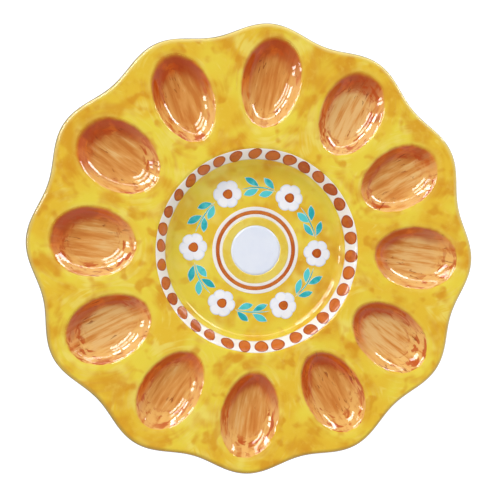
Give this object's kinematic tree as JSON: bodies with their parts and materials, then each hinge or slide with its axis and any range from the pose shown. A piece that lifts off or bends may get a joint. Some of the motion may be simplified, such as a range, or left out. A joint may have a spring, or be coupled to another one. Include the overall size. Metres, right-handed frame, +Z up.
{
  "type": "deviled egg platter",
  "caption": "Round scalloped earthenware platter with egg-shaped wells round a sunken middle, painted in coloured glazes, on a foot ring.",
  "frame": {"origin": "centre of the foot ring's resting face, at the middle of the platter", "axes": "+Z up out of the wells, +X through the middle of the first well, +Y through the fourth"},
  "size_m": [0.3282, 0.3282, 0.028],
  "materials": {
    "yellow_glaze": "glossy sponged glaze",
    "orange_glaze": "glossy brushed glaze",
    "white_glaze": "glossy tin glaze",
    "rust_paint": "glossy brushed paint",
    "yellow_paint": "glossy brushed paint",
    "teal_paint": "glossy brushed paint",
    "bare_clay": "unglazed, wiped clean"
  },
  "bodies": {
    "root": {"platter_shell": "yellow_glaze", "foot_ring": "bare_clay", "well_glaze_1": "orange_glaze", "well_glaze_2": "orange_glaze", "well_glaze_3": "orange_glaze", "well_glaze_4": "orange_glaze", "well_glaze_5": "orange_glaze", "well_glaze_6": "orange_glaze", "well_glaze_7": "orange_glaze", "well_glaze_8": "orange_glaze", "well_glaze_9": "orange_glaze", "well_glaze_10": "orange_glaze", "well_glaze_11": "orange_glaze", "well_glaze_12": "orange_glaze", "band_glaze": "white_glaze", "band_dots": "rust_paint", "centre_disc": "white_glaze", "yellow_ring": "yellow_paint", "inner_white_ring": "white_glaze", "rust_ring": "rust_paint", "outer_white_ring": "white_glaze", "flower_petals": "white_glaze", "flower_hearts": "rust_paint", "garland_leaves": "teal_paint", "garland_stem": "teal_paint"}
  },
  "joints": []
}
